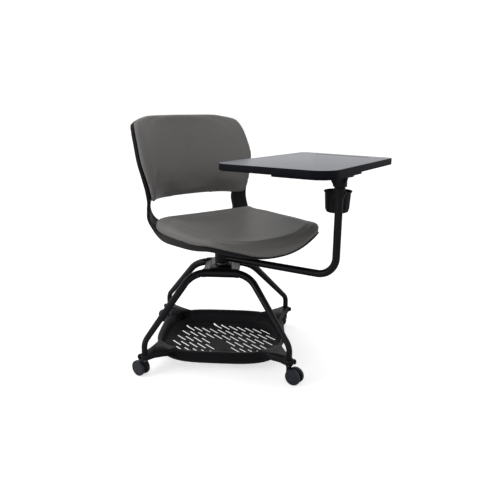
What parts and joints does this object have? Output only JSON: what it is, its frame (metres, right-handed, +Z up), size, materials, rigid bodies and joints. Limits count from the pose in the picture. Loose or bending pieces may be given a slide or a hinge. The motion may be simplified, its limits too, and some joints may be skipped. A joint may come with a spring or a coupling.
{
  "type": "student desk chair with swing tablet",
  "caption": "Padded swivel chair on a four-legged caster base with a slotted bag tray, and a writing tablet and cup holder on a swing arm.",
  "frame": {"origin": "on the floor, under the middle of the chair's box", "axes": "+Z up; the base's front towards -Y and its long side along X; the seat faces between -Y and +X; the tablet is towards +X"},
  "size_m": [0.8928, 0.6622, 0.8366],
  "materials": {
    "coated_steel": "satin powder coat",
    "plain_steel": "satin",
    "black_plastic": "moulded, fine matt",
    "wheel_plastic": "moulded, satin",
    "leatherette": "smooth, low sheen",
    "tablet_laminate": "fine satin"
  },
  "bodies": {
    "base": {"front_arch_tube": "coated_steel", "rear_arch_tube": "coated_steel", "hub_casting": "coated_steel", "spindle": "plain_steel", "spindle_clip": "plain_steel", "hub_washer": "plain_steel", "bag_tray": "black_plastic", "tray_knob_front_left": "black_plastic", "tray_knob_front_right": "black_plastic", "tray_knob_rear_left": "black_plastic", "tray_knob_rear_right": "black_plastic", "leg_plug_front_left": "black_plastic", "leg_plug_front_right": "black_plastic", "leg_plug_rear_left": "black_plastic", "leg_plug_rear_right": "black_plastic", "caster_stem_front_left": "plain_steel", "caster_stem_front_right": "plain_steel", "caster_stem_rear_left": "plain_steel", "caster_stem_rear_right": "plain_steel"},
    "seat": {"seat_hub": "coated_steel", "seat_bush": "black_plastic", "seat_plate": "coated_steel", "seat_bolt_1": "plain_steel", "seat_bolt_2": "plain_steel", "seat_bolt_3": "plain_steel", "seat_bolt_4": "plain_steel", "seat_shell": "black_plastic", "seat_cushion": "leatherette", "back_cushion": "leatherette", "seat_washer": "plain_steel"},
    "arm": {"arm_collar": "coated_steel", "arm_bush_lower": "black_plastic", "arm_bush_upper": "black_plastic", "arm_tube": "coated_steel", "cup_holder": "black_plastic", "cup_clamp": "black_plastic", "cup_clamp_screw": "plain_steel"},
    "tablet": {"tablet_board": "tablet_laminate", "tablet_underplate": "black_plastic", "tablet_bracket": "coated_steel", "post_bush": "black_plastic", "bracket_screw_1": "plain_steel", "bracket_screw_2": "plain_steel", "bracket_screw_3": "plain_steel"},
    "caster_front_left": {"caster_hood_front_left": "black_plastic", "caster_axle_front_left": "plain_steel"},
    "wheel_left_front_left": {"wheel_left_front_left": "wheel_plastic"},
    "wheel_right_front_left": {"wheel_right_front_left": "wheel_plastic"},
    "caster_front_right": {"caster_hood_front_right": "black_plastic", "caster_axle_front_right": "plain_steel"},
    "wheel_left_front_right": {"wheel_left_front_right": "wheel_plastic"},
    "wheel_right_front_right": {"wheel_right_front_right": "wheel_plastic"},
    "caster_rear_left": {"caster_hood_rear_left": "black_plastic", "caster_axle_rear_left": "plain_steel"},
    "wheel_left_rear_left": {"wheel_left_rear_left": "wheel_plastic"},
    "wheel_right_rear_left": {"wheel_right_rear_left": "wheel_plastic"},
    "caster_rear_right": {"caster_hood_rear_right": "black_plastic", "caster_axle_rear_right": "plain_steel"},
    "wheel_left_rear_right": {"wheel_left_rear_right": "wheel_plastic"},
    "wheel_right_rear_right": {"wheel_right_rear_right": "wheel_plastic"}
  },
  "joints": [
    {"name": "seat_swivel", "type": "hinge", "parent": "base", "child": "seat", "pos_m": [-0.1271, 0.01088, 0.39], "axis": [0, 0, 1], "continuous": true},
    {"name": "arm_swing", "type": "hinge", "parent": "seat", "child": "arm", "pos_m": [-0.1271, 0.01088, 0.355], "axis": [0, 0, 1], "range_deg": [-80, 20]},
    {"name": "tablet_swing", "type": "hinge", "parent": "arm", "child": "tablet", "pos_m": [0.24909, -0.18579, 0.66], "axis": [0, 0, 1], "range_deg": [-90, 30]},
    {"name": "caster_swivel_front_left", "type": "hinge", "parent": "base", "child": "caster_front_left", "pos_m": [0.1109, -0.22012, 0.058], "axis": [0, 0, 1], "continuous": true},
    {"name": "wheel_spin_left_front_left", "type": "hinge", "parent": "caster_front_left", "child": "wheel_left_front_left", "pos_m": [0.12914, -0.23242, 0.0265], "axis": [0.5592, 0.829, 0], "continuous": true},
    {"name": "wheel_spin_right_front_left", "type": "hinge", "parent": "caster_front_left", "child": "wheel_right_front_left", "pos_m": [0.12914, -0.23242, 0.0265], "axis": [0.5592, 0.829, 0], "continuous": true},
    {"name": "caster_swivel_front_right", "type": "hinge", "parent": "base", "child": "caster_front_right", "pos_m": [-0.3651, -0.22012, 0.058], "axis": [0, 0, 1], "continuous": true},
    {"name": "wheel_spin_left_front_right", "type": "hinge", "parent": "caster_front_right", "child": "wheel_left_front_right", "pos_m": [-0.3829, -0.20719, 0.0265], "axis": [-0.5878, -0.809, 0], "continuous": true},
    {"name": "wheel_spin_right_front_right", "type": "hinge", "parent": "caster_front_right", "child": "wheel_right_front_right", "pos_m": [-0.3829, -0.20719, 0.0265], "axis": [-0.5878, -0.809, 0], "continuous": true},
    {"name": "caster_swivel_rear_left", "type": "hinge", "parent": "base", "child": "caster_rear_left", "pos_m": [0.1109, 0.24188, 0.058], "axis": [0, 0, 1], "continuous": true},
    {"name": "wheel_spin_left_rear_left", "type": "hinge", "parent": "caster_rear_left", "child": "wheel_left_rear_left", "pos_m": [0.08891, 0.24111, 0.0265], "axis": [0.0349, -0.9994, 0], "continuous": true},
    {"name": "wheel_spin_right_rear_left", "type": "hinge", "parent": "caster_rear_left", "child": "wheel_right_rear_left", "pos_m": [0.08891, 0.24111, 0.0265], "axis": [0.0349, -0.9994, 0], "continuous": true},
    {"name": "caster_swivel_rear_right", "type": "hinge", "parent": "base", "child": "caster_rear_right", "pos_m": [-0.3651, 0.24188, 0.058], "axis": [0, 0, 1], "continuous": true},
    {"name": "wheel_spin_left_rear_right", "type": "hinge", "parent": "caster_rear_right", "child": "wheel_left_rear_right", "pos_m": [-0.38415, 0.25288, 0.0265], "axis": [-0.5, -0.866, 0], "continuous": true},
    {"name": "wheel_spin_right_rear_right", "type": "hinge", "parent": "caster_rear_right", "child": "wheel_right_rear_right", "pos_m": [-0.38415, 0.25288, 0.0265], "axis": [-0.5, -0.866, 0], "continuous": true}
  ]
}
